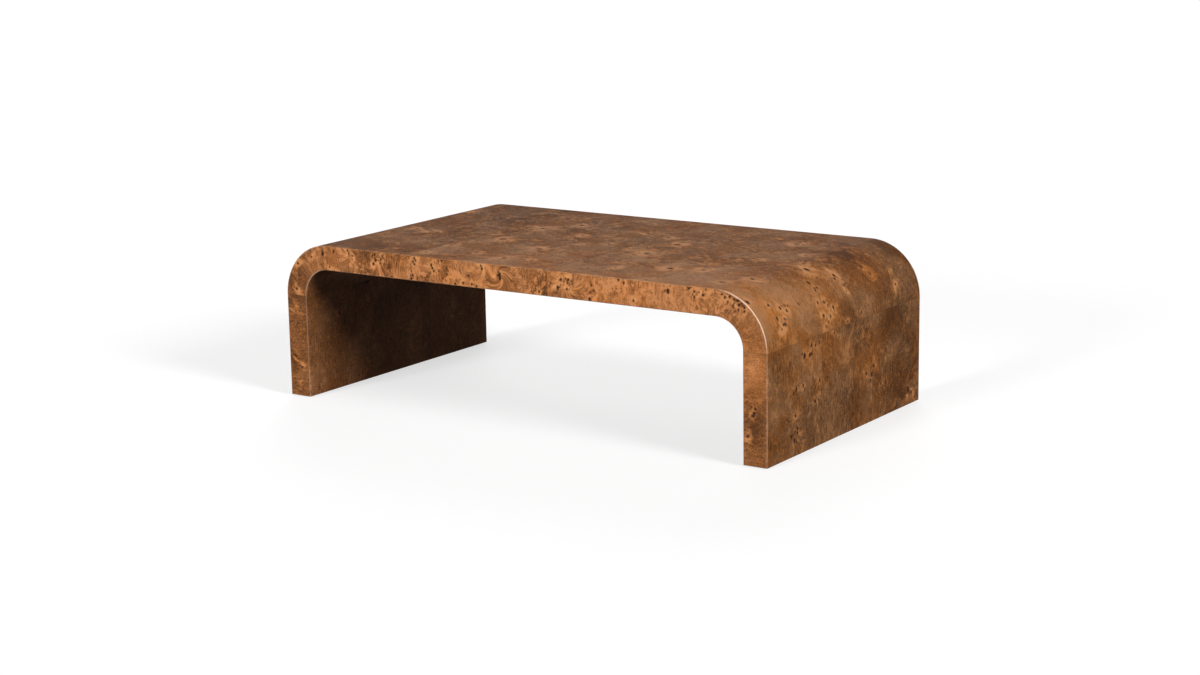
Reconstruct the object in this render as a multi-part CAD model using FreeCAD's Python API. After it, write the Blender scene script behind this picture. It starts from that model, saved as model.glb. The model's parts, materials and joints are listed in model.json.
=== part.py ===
import FreeCAD, Part
import math
import os

from FreeCAD import Vector

# Waterfall coffee table: a burl-veneered slab that runs along the top and bends down into two slab legs.
# Sizes are in millimetres. +X runs along the length, the front edge faces -Y and +Z is up.
# The origin lies on the floor under the middle of the table.

# Overall form
LENGTH = 1350.0  # across the outside of both legs
DEPTH = 720.0  # from the front edge to the back edge
BODY_HEIGHT = 381.0  # from the bottom of the legs to the table top
SLAB = 60.0  # finished thickness of the top and of both legs
BEND_RADIUS = 130.0  # outside radius of the two bends

# Sheet stock
VENEER = 0.6  # burl veneer on every face
SKIN = 9.0  # flat skins and bent shells

# Veneer leaves
LEAF_LENGTH = 405.0  # spacing of the seams that cross the top and the long edges
FIRST_SEAM_X = -300.0  # where one of those seams lies
LEAF_WIDTH = 240.0  # spacing of the seams that run along the top and down the legs
SHORTEST_LEAF = 60.0  # a seam nearer than this to the end of a run is left out

# Frame timbers inside the slab
EDGE_TIMBER = 45.0  # long rails of the top and outer stiles of the legs
END_TIMBER = 55.0  # rails that take the tenons of the bends
SOLE_TIMBER = 60.0  # bottom rails of the legs
RIB = 30.0  # width of the ribs between the rails
TOP_RIBS = 4
LEG_RIBS = 2
TONGUE = 12.0  # thickness of the tongues on rails and ribs
TONGUE_LENGTH = 10.0
GLUE_GAP = 0.1  # room for glue round tongues, tenons and inserts

# Formers that carry the bent shells
FORMER = 18.0  # thickness
FORMERS = 5  # spread over the depth
FORMER_TAIL = 25.0  # straight run past each end of the bend, under the flat skins

# Loose tenons between the formers and the frames
TENON_THICKNESS = 8.0
TENON_WIDTH = 26.0
TENON_LENGTH = 40.0

# Levellers, recessed into the sole rails
LEVELLER_INSET = 80.0  # from the front or back edge to the leveller's axis
FOOT_PROUD = 3.0  # how far the feet hold the legs off the floor when screwed right in
FOOT_WIDTH = 24.0  # across the flats of the hexagonal foot, which a spanner turns
FOOT_HEIGHT = 7.0
FOOT_CHAMFER = 1.0
POCKET_GAP = 2.0  # between the corners of the foot and the wall of its pocket
SEAT_GAP = 0.3  # between the foot and the insert's flange when screwed right in
STUD_DIAMETER = 8.0
STUD_LENGTH = 26.0  # above the head
STUD_GAP = 0.05  # running fit in the insert
HEAD_WIDTH = 13.0  # across the flats of the hexagon moulded into the foot
HEAD_HEIGHT = 3.0
INSERT_DIAMETER = 12.0
INSERT_LENGTH = 18.0
FLANGE_WIDTH = 19.0  # across the flats of the insert's hexagonal flange
FLANGE_THICKNESS = 1.5
DRILL_SPARE = 4.0  # depth of the drilled hole past the tip of the stud


def evenly(low, high, count):
    """Middles of count pieces spread evenly between low and high, with none at the ends."""
    step = (high - low) / (count + 1)
    return [low + step * (i + 1) for i in range(count)]


def leaves(low, high, seam, pitch):
    """Stretches into which seams at every pitch cut the run from low to high."""
    first = seam + pitch * math.ceil((low + SHORTEST_LEAF - seam) / pitch)
    count = max(0, math.floor((high - SHORTEST_LEAF - first) / pitch) + 1)
    stops = [low] + [first + pitch * i for i in range(count)] + [high]
    return list(zip(stops, stops[1:]))


def middle_layer(thickness):
    """Layer of the given thickness about the middle of the slab."""
    return ((SLAB - thickness) / 2, (SLAB + thickness) / 2)


# Places worked out from the sizes
HALF_LENGTH = LENGTH / 2
HALF_DEPTH = DEPTH / 2
LEG_Z = FOOT_PROUD
TOP_Z = LEG_Z + BODY_HEIGHT
BEND_X = HALF_LENGTH - BEND_RADIUS  # the bend's axis, and where the flat top ends
BEND_Z = TOP_Z - BEND_RADIUS  # the bend's axis, and where the flat leg ends
CARCASS_Y = HALF_DEPTH - VENEER  # front and back of all that the edge veneer covers
INNER_Y = CARCASS_Y - EDGE_TIMBER  # inner faces of the edge timbers
FRAME_X = BEND_X - FORMER_TAIL  # ends of the top frame
FRAME_Z = BEND_Z - FORMER_TAIL  # upper ends of the leg frames
SOLE_TOP_Z = LEG_Z + SOLE_TIMBER
GROOVE_DEPTH = TONGUE_LENGTH + GLUE_GAP
LEG_RAIL_Z = FRAME_Z - END_TIMBER
LEVELLER_X = HALF_LENGTH - SLAB / 2
LEVELLER_Y = HALF_DEPTH - LEVELLER_INSET
POCKET_Z = FOOT_HEIGHT + SEAT_GAP + FLANGE_THICKNESS
HEAD_Z = (FOOT_HEIGHT - HEAD_HEIGHT) / 2
STUD_TIP_Z = HEAD_Z + HEAD_HEIGHT + STUD_LENGTH
FORMER_REACH = CARCASS_Y - FORMER / 2  # from the middle of the table to the outermost formers
FORMER_YS = [FORMER_REACH * (2 * i / (FORMERS - 1) - 1) for i in range(FORMERS)]

# Layers of the slab, each as the depths of its two faces below the outer surface
OUTER_VENEER = (0.0, VENEER)
OUTER_SKIN = (VENEER, VENEER + SKIN)
CORE = (VENEER + SKIN, SLAB - VENEER - SKIN)
INNER_SKIN = (SLAB - VENEER - SKIN, SLAB - VENEER)
INNER_VENEER = (SLAB - VENEER, SLAB)
EDGE_LAYER = (VENEER, SLAB - VENEER)
TONGUE_LAYER = middle_layer(TONGUE)
GROOVE_LAYER = middle_layer(TONGUE + 2 * GLUE_GAP)

# Runs along Y, Z and X that several pieces share
CARCASS_SPAN = (-CARCASS_Y, CARCASS_Y)
INNER_SPAN = (-INNER_Y, INNER_Y)
TONGUED_SPAN = (-INNER_Y - TONGUE_LENGTH, INNER_Y + TONGUE_LENGTH)
LEG_SPAN = (LEG_Z, BEND_Z)
TOP_SPAN = (-BEND_X, BEND_X)
FRONT_VENEER_SPAN = (-HALF_DEPTH, -CARCASS_Y)
BACK_VENEER_SPAN = (CARCASS_Y, HALF_DEPTH)
TOP_LEAVES = leaves(*TOP_SPAN, FIRST_SEAM_X, LEAF_LENGTH)
DEPTH_LEAVES = leaves(-HALF_DEPTH, HALF_DEPTH, LEAF_WIDTH / 2, LEAF_WIDTH)


def top_board(xs, ys, layer):
    """Board lying in the top, in the given layer."""
    corner = Vector(xs[0], ys[0], TOP_Z - layer[1])
    return Part.makeBox(xs[1] - xs[0], ys[1] - ys[0], layer[1] - layer[0], corner)


def leg_board(zs, ys, layer):
    """Board standing in the right leg, in the given layer."""
    corner = Vector(HALF_LENGTH - layer[1], ys[0], zs[0])
    return Part.makeBox(layer[1] - layer[0], ys[1] - ys[0], zs[1] - zs[0], corner)


def bend_board(ys, layer):
    """Board carried round the right bend: its section on the top's end, turned down a quarter circle."""
    low, high = TOP_Z - layer[1], TOP_Z - layer[0]
    outline = [(ys[0], low), (ys[1], low), (ys[1], high), (ys[0], high), (ys[0], low)]
    section = Part.Face(Part.makePolygon([Vector(BEND_X, y, z) for y, z in outline]))
    return section.revolve(Vector(BEND_X, 0, BEND_Z), Vector(0, 1, 0), 90)


def mirrored(shape):
    """The same piece on the left side."""
    return shape.mirror(Vector(0, 0, 0), Vector(1, 0, 0))


def as_built(shape):
    """The piece where it was built, on the right side."""
    return shape


def top_tenon(middle_y, room=0.0):
    """Loose tenon between a former and the right end of the top frame, or with room its mortise."""
    reach = TENON_LENGTH / 2 + room
    half = TENON_THICKNESS / 2 + room
    layer = middle_layer(TENON_WIDTH + 2 * room)
    return top_board((FRAME_X - reach, FRAME_X + reach), (middle_y - half, middle_y + half), layer)


def leg_tenon(middle_y, room=0.0):
    """Loose tenon between a former and the right leg frame, or with room its mortise."""
    reach = TENON_LENGTH / 2 + room
    half = TENON_THICKNESS / 2 + room
    layer = middle_layer(TENON_WIDTH + 2 * room)
    return leg_board((FRAME_Z - reach, FRAME_Z + reach), (middle_y - half, middle_y + half), layer)


def mortises(tenon):
    """Mortises for the given kind of tenon at every former."""
    return [tenon(middle_y, GLUE_GAP) for middle_y in FORMER_YS]


def bend_former(middle_y):
    """Former of the right bend: a quarter ring as thick as the core, with a straight tail at each end."""
    outer, inner = BEND_RADIUS - CORE[0], BEND_RADIUS - CORE[1]
    start_y = middle_y - FORMER / 2

    def on_bend(radius, degrees):
        turn = math.radians(degrees)
        return Vector(BEND_X + radius * math.sin(turn), start_y, BEND_Z + radius * math.cos(turn))

    def arc(radius, first, last):
        return Part.Arc(on_bend(radius, first), on_bend(radius, 45), on_bend(radius, last)).toShape()

    def tail(from_radius, to_radius, degrees, run):
        start, end = on_bend(from_radius, degrees), on_bend(to_radius, degrees)
        return Part.makePolygon([start, start + run, end + run, end]).Edges

    outline = [arc(outer, 0, 90)]
    outline += tail(outer, inner, 90, Vector(0, 0, -FORMER_TAIL))
    outline += [arc(inner, 90, 0)]
    outline += tail(inner, outer, 0, Vector(-FORMER_TAIL, 0, 0))
    plate = Part.Face(Part.Wire(outline)).extrude(Vector(0, FORMER, 0))
    return plate.cut([top_tenon(middle_y, GLUE_GAP), leg_tenon(middle_y, GLUE_GAP)])


def top_cross_timber(xs):
    """Timber across the top frame, with a tongue into the front rail and one into the back rail."""
    tongues = top_board(xs, TONGUED_SPAN, TONGUE_LAYER)
    return top_board(xs, INNER_SPAN, CORE).fuse(tongues).removeSplitter()


def edge_timber_ys(side):
    """Run in Y of an edge timber, at the front (-1) or back (1)."""
    return sorted((side * INNER_Y, side * CARCASS_Y))


def edge_groove_ys(side):
    """Run in Y of the groove in an edge timber's inner face."""
    return sorted((side * INNER_Y, side * (INNER_Y + GROOVE_DEPTH)))


def top_long_rail(side):
    """Long rail of the top, at the front (-1) or back (1), grooved for the cross timbers."""
    xs = (-FRAME_X, FRAME_X)
    groove = top_board(xs, edge_groove_ys(side), GROOVE_LAYER)
    ends = mortises(top_tenon)
    return top_board(xs, edge_timber_ys(side), CORE).cut([groove] + ends + list(map(mirrored, ends)))


def leg_stile(side):
    """Outer stile of the right leg, at the front (-1) or back (1), grooved for the leg's rails."""
    zs = (LEG_Z, FRAME_Z)
    groove = leg_board(zs, edge_groove_ys(side), GROOVE_LAYER)
    return leg_board(zs, edge_timber_ys(side), CORE).cut([groove] + mortises(leg_tenon))


def leg_rail(zs, groove_zs):
    """Rail of the right leg, with a tongue into each stile and a groove for the ribs."""
    rail = leg_board(zs, INNER_SPAN, CORE).fuse(leg_board(zs, TONGUED_SPAN, TONGUE_LAYER)).removeSplitter()
    return rail.cut(leg_board(groove_zs, TONGUED_SPAN, GROOVE_LAYER))


def leg_top_rail():
    """Upper rail of the right leg, mortised for the tenons of the bend."""
    groove_zs = (LEG_RAIL_Z, LEG_RAIL_Z + GROOVE_DEPTH)
    return leg_rail((LEG_RAIL_Z, FRAME_Z), groove_zs).cut(mortises(leg_tenon))


def leg_sole_rail():
    """Bottom rail of the right leg, with a pocket and a drilled hole for each leveller."""
    rail = leg_rail((LEG_Z, SOLE_TOP_Z), (SOLE_TOP_Z - GROOVE_DEPTH, SOLE_TOP_Z))
    drill_top_z = max(STUD_TIP_Z, POCKET_Z + INSERT_LENGTH) + DRILL_SPARE
    for y in (-LEVELLER_Y, LEVELLER_Y):
        mouth = Vector(LEVELLER_X, y, LEG_Z)
        pocket = Part.makeCylinder(corner_radius(FOOT_WIDTH) + POCKET_GAP, POCKET_Z - LEG_Z, mouth)
        drilled = Part.makeCylinder(INSERT_DIAMETER / 2 + GLUE_GAP, drill_top_z - LEG_Z, mouth)
        rail = rail.cut([pocket, drilled])
    return rail


def leg_rib(middle_y):
    """Rib of the right leg, with a tongue into the sole rail and one into the top rail."""
    ys = (middle_y - RIB / 2, middle_y + RIB / 2)
    tongues = leg_board((SOLE_TOP_Z - TONGUE_LENGTH, LEG_RAIL_Z + TONGUE_LENGTH), ys, TONGUE_LAYER)
    return leg_board((SOLE_TOP_Z, LEG_RAIL_Z), ys, CORE).fuse(tongues).removeSplitter()


def corner_radius(across_flats):
    """Radius of the circle through the corners of a hexagon."""
    return across_flats / math.sqrt(3)


def hexagon(across_flats, low_z, height):
    """Hexagonal block about the Z axis."""
    corner = Vector(corner_radius(across_flats), 0, low_z)
    outline = [FreeCAD.Rotation(Vector(0, 0, 1), 60 * i).multVec(corner) for i in range(7)]
    return Part.Face(Part.makePolygon(outline)).extrude(Vector(0, 0, height))


def leveller_insert():
    """Threaded insert about the Z axis: a sleeve for the sole rail, driven by its hexagonal flange."""
    flange = hexagon(FLANGE_WIDTH, POCKET_Z - FLANGE_THICKNESS, FLANGE_THICKNESS)
    sleeve = Part.makeCylinder(INSERT_DIAMETER / 2, INSERT_LENGTH, Vector(0, 0, POCKET_Z))
    bore = Part.makeCylinder(STUD_DIAMETER / 2 + STUD_GAP, POCKET_Z + INSERT_LENGTH)
    return flange.fuse(sleeve).removeSplitter().cut(bore)


def leveller_stud():
    """Stud about the Z axis, with a hexagonal head that the foot is moulded round."""
    shank = Part.makeCylinder(STUD_DIAMETER / 2, HEAD_HEIGHT + STUD_LENGTH, Vector(0, 0, HEAD_Z))
    return hexagon(HEAD_WIDTH, HEAD_Z, HEAD_HEIGHT).fuse(shank).removeSplitter()


def leveller_foot():
    """Hexagonal foot about the Z axis, eased at the floor and moulded round the stud's head."""
    block = hexagon(FOOT_WIDTH, 0, FOOT_HEIGHT)
    floor_edges = [edge for edge in block.Edges if edge.BoundBox.ZMax < FOOT_CHAMFER]
    return block.makeChamfer(FOOT_CHAMFER, floor_edges).cut(leveller_stud())


def edge_leaves(ys):
    """Leaves of veneer along the whole arch of one edge: both legs, both bends and the top between them."""
    side = [leg_board(LEG_SPAN, ys, EDGE_LAYER), bend_board(ys, EDGE_LAYER)]
    return side + list(map(mirrored, side)) + [top_board(xs, ys, EDGE_LAYER) for xs in TOP_LEAVES]


def save(name, *solids):
    """Writes one named piece, or a group of like pieces."""
    shape = solids[0] if len(solids) == 1 else Part.makeCompound(list(solids))
    shape.exportStep(os.path.join("parts", name + ".step"))


os.makedirs("parts", exist_ok=True)

# Top
save("top_upper_skin", top_board(TOP_SPAN, CARCASS_SPAN, OUTER_SKIN))
save("top_lower_skin", top_board(TOP_SPAN, CARCASS_SPAN, INNER_SKIN))
save("top_front_rail", top_long_rail(-1))
save("top_back_rail", top_long_rail(1))
rib_xs = evenly(END_TIMBER - FRAME_X, FRAME_X - END_TIMBER, TOP_RIBS)
save("top_ribs", *[top_cross_timber((x - RIB / 2, x + RIB / 2)) for x in rib_xs])
end_rail = top_cross_timber((FRAME_X - END_TIMBER, FRAME_X)).cut(mortises(top_tenon))
top_leaves = [(xs, ys) for xs in TOP_LEAVES for ys in DEPTH_LEAVES]
save("top_veneer", *[top_board(xs, ys, OUTER_VENEER) for xs, ys in top_leaves])
save("underside_veneer", *[top_board(xs, ys, INNER_VENEER) for xs, ys in top_leaves])
save("front_edge_veneer", *edge_leaves(FRONT_VENEER_SPAN))
save("back_edge_veneer", *edge_leaves(BACK_VENEER_SPAN))

# Legs and bends, built on the right and mirrored to the left
side_pieces = {
    "top_{}_end_rail": [end_rail],
    "{}_leg_outer_skin": [leg_board(LEG_SPAN, CARCASS_SPAN, OUTER_SKIN)],
    "{}_leg_inner_skin": [leg_board(LEG_SPAN, CARCASS_SPAN, INNER_SKIN)],
    "{}_leg_front_stile": [leg_stile(-1)],
    "{}_leg_back_stile": [leg_stile(1)],
    "{}_leg_top_rail": [leg_top_rail()],
    "{}_leg_sole_rail": [leg_sole_rail()],
    "{}_leg_ribs": [leg_rib(y) for y in evenly(*INNER_SPAN, LEG_RIBS)],
    "{}_leg_outer_veneer": [leg_board(LEG_SPAN, ys, OUTER_VENEER) for ys in DEPTH_LEAVES],
    "{}_leg_inner_veneer": [leg_board(LEG_SPAN, ys, INNER_VENEER) for ys in DEPTH_LEAVES],
    "{}_bend_outer_shell": [bend_board(CARCASS_SPAN, OUTER_SKIN)],
    "{}_bend_inner_shell": [bend_board(CARCASS_SPAN, INNER_SKIN)],
    "{}_bend_front_former": [bend_former(FORMER_YS[0])],
    "{}_bend_back_former": [bend_former(FORMER_YS[-1])],
    "{}_bend_inner_formers": [bend_former(y) for y in FORMER_YS[1:-1]],
    "{}_bend_outer_veneer": [bend_board(ys, OUTER_VENEER) for ys in DEPTH_LEAVES],
    "{}_bend_inner_veneer": [bend_board(ys, INNER_VENEER) for ys in DEPTH_LEAVES],
    "{}_top_tenons": [top_tenon(y) for y in FORMER_YS],
    "{}_leg_tenons": [leg_tenon(y) for y in FORMER_YS],
}
for side, place in (("right", as_built), ("left", mirrored)):
    for name, solids in side_pieces.items():
        save(name.format(side), *map(place, solids))

# Levellers at the four corners
leveller_pieces = {"insert": leveller_insert(), "stud": leveller_stud(), "foot": leveller_foot()}
for end, y in (("front", -LEVELLER_Y), ("back", LEVELLER_Y)):
    for side, x in (("left", -LEVELLER_X), ("right", LEVELLER_X)):
        for name, piece in leveller_pieces.items():
            save(f"{end}_{side}_leveller_{name}", piece.translated(Vector(x, y, 0)))
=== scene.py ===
import json
import math

import bpy
import numpy as np
from bpy.props import FloatProperty, FloatVectorProperty, IntProperty, PointerProperty
from bpy.types import Operator, Panel, PropertyGroup
from mathutils import Matrix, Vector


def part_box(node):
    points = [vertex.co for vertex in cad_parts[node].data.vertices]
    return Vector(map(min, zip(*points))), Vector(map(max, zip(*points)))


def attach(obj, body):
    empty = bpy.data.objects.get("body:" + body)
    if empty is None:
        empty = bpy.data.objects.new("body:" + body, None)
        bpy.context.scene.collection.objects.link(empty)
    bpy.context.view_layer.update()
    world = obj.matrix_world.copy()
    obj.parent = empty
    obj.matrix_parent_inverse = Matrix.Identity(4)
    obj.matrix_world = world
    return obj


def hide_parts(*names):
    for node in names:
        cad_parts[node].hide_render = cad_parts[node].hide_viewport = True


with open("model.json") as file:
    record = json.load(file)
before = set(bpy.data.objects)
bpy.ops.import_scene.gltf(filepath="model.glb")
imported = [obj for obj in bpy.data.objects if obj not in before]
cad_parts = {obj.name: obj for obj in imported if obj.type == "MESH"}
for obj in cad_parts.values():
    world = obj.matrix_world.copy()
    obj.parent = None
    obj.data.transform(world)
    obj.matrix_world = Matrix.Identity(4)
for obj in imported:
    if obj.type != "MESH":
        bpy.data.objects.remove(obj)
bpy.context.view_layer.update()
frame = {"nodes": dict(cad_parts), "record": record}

bl_info = {
    "name": "Waterfall coffee table",
    "version": (1, 0, 0),
    "blender": (4, 5, 0),
    "location": "View3D > Sidebar > Table",
    "description": "Lays burl veneer over the packed table and sets its studio",
    "category": "Object",
}

MM = 0.001
TOUCH = 0.05 * MM
TINY = 1e-9
PLACE_DIGITS = 4
QUARTER = math.pi / 2
SIXTH = math.pi / 3
SHARP_ANGLE = math.radians(40)
WHITE = (1.0, 1.0, 1.0, 1.0)
LEVELLERS = ("front_left_leveller", "front_right_leveller", "back_left_leveller", "back_right_leveller")

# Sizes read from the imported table
TOP_LOW, TOP_HIGH = map(np.array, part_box("top_veneer"))
LEG_LOW, LEG_HIGH = map(np.array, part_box("right_leg_outer_veneer"))
FLAT_REACH, HALF_DEPTH, TABLE_TOP = TOP_HIGH
LEG_FOOT, LEG_HEAD = LEG_LOW[2], LEG_HIGH[2]
BEND_RADIUS = TABLE_TOP - LEG_HEAD
SLAB = TABLE_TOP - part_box("underside_veneer")[0][2]
VENEER = TABLE_TOP - TOP_LOW[2]
BEND_END = FLAT_REACH + BEND_RADIUS * QUARTER
ARCH_END = BEND_END + (LEG_HEAD - LEG_FOOT)

# Steps of the grids: a row's fewest places, the eased lip of a leaf, the rings of a stud, and the studio's
# floor and sweep
FEWEST_PLACES = 5
LIP_STEPS = 4
STUD_COLUMNS, THREAD_ROWS = 48, 8
FLOOR_CELLS = 4
SWEEP_ROWS, SWEEP_COLUMNS = 25, 96

# The thread's flat crest and its flanks, as shares of its pitch
CREST, FLANK = 1 / 8, 5 / 8

# Clusters of eyes laid at random: how many to a square metre, the shape and scale of the gamma law of their
# spread, the mean number of eyes past the first, how pale they are and how far they turn the grain
OUTER_DENSITY, LEG_DENSITY, INNER_DENSITY = 60, 30, 50
FRONT_DENSITY, BACK_DENSITY = 110, 300
SPREAD_LAW = (4, 2.6 * MM)
MORE_EYES = 3.2
PALENESS = (0.35, 0.8)
TWIST = 1.1

# Eyes of a cluster: how far they scatter as a share of its spread, the gamma law of their radius, what is
# added to it for a common eye and for the main eye of a chosen cluster, how oval they are, and how far off an
# eye counts
SCATTER = 0.85
EYE_LAW = (2, 0.36 * MM)
COMMON_EYE = 0.8 * MM
MAIN_EYE, MAIN_EYE_SHARE, MAIN_EYE_MOST = 0.6 * MM, 0.22, 4.5 * MM
OVAL = (0.6, 1.0)
EYE_FAR = 30 * MM

# Reach of a cluster's turned grain and of its pale wood, as a share of its spread and a length past that, and
# how far it crowds the grain
TURN_SHARE, TURN_PAST = 1.5, 9 * MM
BURR_SHARE, BURR_PAST = 1.6, 7 * MM
CROWDING = 0.5

# Where in the burl a sheet is taken from, the mean and the spread of tone of a sheet that has none set, and
# the keys of the long edges' random draws
SHIFT_STEPS, SHIFT_STEP = 12, 1.7
PLAIN_TONE = (-0.06, 0.03)
FRONT_KEY, BACK_KEY = 2, 3

# Rings of a knot: how sharply they end, how deep and how close they are, and how deep and small its heart is
KNOT_END = 6
RING_DEPTH, RING_TURN = 0.3, 14
HEART_DEPTH, HEART_TURN = 0.3, 6

# How far the long corners are rubbed and lit by a painted highlight along the top, down the legs and over the
# bends, and how far in
RUBBED_HIGHLIT_TOP, RUBBED_HIGHLIT_LEG, RUBBED_HIGHLIT_BEND, RUBBED_HIGHLIT_MOST = 0.1, 0.12, 2.2, 0.75
RUBBED_HIGHLIT_REACH = 2.2 * MM

# How much less blotched the figure is on the legs and over the bends, and a distance with no seam near
CALM_LEG, CALM_BEND = 0.5, 0.3
NO_SEAM = 1.0

# Features of the burl that show most, in millimetres, each as its place, its size and a number. The number is
# how many eyes a cluster holds, how far a shade or a knot's rings lighten, or how far a stain warms. A shade
# is partly the burl's own tone and partly painted shade, darker towards the back, at the far end of the right
# bend and low down the legs. On the front edge a place is x and z, on the outer face it is the run along the
# arch and y.
FRONT_EDGE_CLUSTERS = (
    (-637, 333, 4, 1), (-592, 353, 5, 2), (-536, 333, 4, 2), (-644, 270, 5, 3), (-657, 102, 6, 3),
    (-637, 75, 5, 1), (-647, 43, 6, 3), (-478, 379, 4, 1), (-475, 371, 4, 2), (-464, 367, 4, 2),
    (-464, 358, 3, 1), (-399, 353, 8, 1), (-392, 363, 4, 1), (-379, 356, 4, 1), (-395, 376, 4, 2),
    (-372, 374, 5, 3), (-376, 366, 4, 1), (-275, 378, 4, 1), (-271, 373, 4, 1), (-279, 369, 4, 1),
    (-275, 364, 4, 1), (-225, 366, 5, 1), (-222, 359, 6, 1), (-218, 353, 6, 1), (-81, 377, 5, 2),
    (-78, 371, 5, 1), (-31, 367, 5, 1), (-28, 361, 6, 1), (-27, 353, 7, 1), (-34, 359, 5, 1),
    (-133, 332, 5, 1), (-157, 328, 4, 1), (-286, 328, 6, 2), (-108, 332, 4, 1), (-95, 328, 6, 2),
    (-102, 325, 4, 1), (61, 332, 5, 1), (82, 333, 5, 2), (163, 368, 9, 4), (134, 347, 9, 4),
    (159, 346, 8, 4), (143, 366, 6, 2), (225, 361, 6, 2), (232, 349, 8, 4), (220, 329, 6, 2),
    (298, 381, 4, 1), (312, 375, 5, 2), (337, 337, 6, 3), (427, 367, 8, 4), (494, 373, 5, 2),
    (494, 361, 6, 3), (524, 380, 4, 1), (516, 367, 7, 4), (571, 367, 4, 3), (583, 371, 3, 2),
    (594, 366, 3, 2), (604, 364, 3, 2), (594, 357, 4, 3), (606, 355, 3, 2), (613, 358, 3, 2),
    (619, 350, 4, 3), (591, 348, 3, 2), (596, 340, 3, 2), (605, 345, 3, 2), (579, 360, 3, 2),
    (640, 115, 7, 4), (626, 68, 7, 3),
)
FRONT_EDGE_SHADES = (
    (-632, 304, 70, -0.22), (-420, 354, 80, -0.11), (-270, 354, 50, 0.10), (-130, 354, 80, 0.20),
    (25, 354, 60, 0.11), (150, 354, 65, -0.16), (515, 354, 60, -0.13), (645, 215, 50, 0.26),
    (645, 90, 45, -0.22), (605, 345, 45, -0.11), (-540, 354, 35, 0.13), (-324, 354, 32, 0.13),
    (-378, 354, 30, -0.07),
)
TOP_CLUSTERS = (
    (-505, -59, 12, 1), (-453, -70, 16, 2), (-286, -203, 10, 2), (-278, -311, 12, 1), (-230, 92, 22, 2),
    (-226, -78, 22, 3), (-170, 177, 16, 1), (-170, -260, 10, 2), (-84, 57, 14, 1), (-71, -282, 20, 3),
    (-69, -145, 20, 4), (31, -4, 9, 1), (39, 157, 14, 1), (115, 133, 14, 1), (117, -43, 12, 2),
    (185, -69, 26, 2), (186, 59, 18, 2), (218, -253, 12, 1), (335, -205, 22, 2), (362, -346, 14, 1),
    (410, -185, 20, 2), (430, 205, 20, 1), (455, -20, 10, 2), (519, 83, 8, 2), (519, -288, 12, 1),
)
SIDE_CLUSTERS = (
    (589, -35, 17, 2), (558, -223, 15, 2), (625, -349, 10, 1), (677, 29, 4, 1), (631, 25, 12, 4),
    (700, 250, 9, 3), (649, -293, 6, 2), (663, -258, 6, 2), (673, -239, 7, 2), (683, -289, 5, 1),
    (689, -261, 6, 2), (700, -274, 7, 3), (708, -286, 7, 3), (679, -106, 6, 2), (683, -81, 6, 2),
    (693, -72, 6, 2), (701, -52, 7, 2), (712, -104, 6, 2), (718, -74, 6, 2), (729, -86, 7, 2),
    (736, -100, 6, 2), (758, -63, 6, 2), (771, -40, 6, 2), (766, -168, 9, 4), (769, -149, 9, 3),
    (783, -198, 11, 4), (786, -174, 10, 4), (849, -234, 10, 2), (849, -204, 10, 2), (857, -247, 10, 2),
    (852, -130, 8, 1), (895, -150, 11, 1), (910, -238, 11, 4), (940, -229, 12, 4), (950, -229, 13, 3),
    (954, -255, 11, 4), (818, 4, 18, 0), (870, 127, 11, 2), (882, 91, 10, 2), (889, 116, 11, 2),
    (920, 164, 8, 2), (965, 303, 14, 2), (973, 319, 13, 1),
)
OUTER_SHADES = (
    (592, 95, 70, -0.17), (640, -170, 110, 0.13), (735, 255, 110, -0.16), (950, -320, 60, -0.06),
    (900, 280, 140, -0.12), (910, 10, 110, -0.06), (-480, -60, 170, -0.05), (-446, -331, 60, -0.10),
    (490, -310, 170, 0.15), (100, -270, 210, 0.08), (-450, 340, 120, -0.10), (-120, 350, 130, -0.08),
    (590, 310, 75, -0.20), (640, -345, 75, 0.16), (597, -60, 45, -0.12), (710, 60, 45, -0.13),
    (725, -180, 45, -0.06), (805, -90, 65, 0.12), (865, 70, 50, 0.10), (930, -190, 75, -0.13),
    (960, 10, 75, -0.08), (585, -170, 50, -0.11), (590, 180, 45, -0.08), (725, 0, 50, -0.09),
    (660, -320, 40, 0.09), (960, -60, 60, -0.06), (965, 240, 80, -0.09), (800, 60, 40, -0.10),
    (805, -180, 40, 0.06), (583, -110, 75, -0.11), (727, -150, 45, -0.09), (727, 0, 45, -0.05),
    (812, -8, 24, 0.14), (-381, 143, 40, -0.12), (-125, 172, 60, -0.10), (155, -199, 70, -0.12),
    (253, -23, 60, -0.09), (85, 59, 50, -0.09),
)
OUTER_KNOTS = ((655, 165, 23, 0.5),)
OUTER_STAINS = (
    (590, -60, 80, 0.9), (605, 170, 80, 0.9), (840, 135, 45, 0.7), (775, -180, 45, 0.5), (890, -20, 90, -0.5),
    (960, -150, 80, -0.4), (820, -290, 60, -0.4), (740, 60, 60, -0.4), (720, 300, 60, -0.4),
)

# Tones of the leaves that show most, partly their own and partly painted shade, which makes the leaves of the
# legs darker. The edge goes from the left leg round to the right leg. The outer face goes the same way sheet
# by sheet, each from the front to the back.
EDGE_TONES = (-0.18, -0.04, 0.00, -0.10, 0.13, -0.03, -0.11)
OUTER_TONES = (
    (-0.10, -0.12, -0.10),
    (-0.05, -0.05, -0.12),
    (0.03, -0.03, -0.02),
    (0.03, 0.02, -0.04),
    (-0.07, -0.07, -0.08),
)

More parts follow.
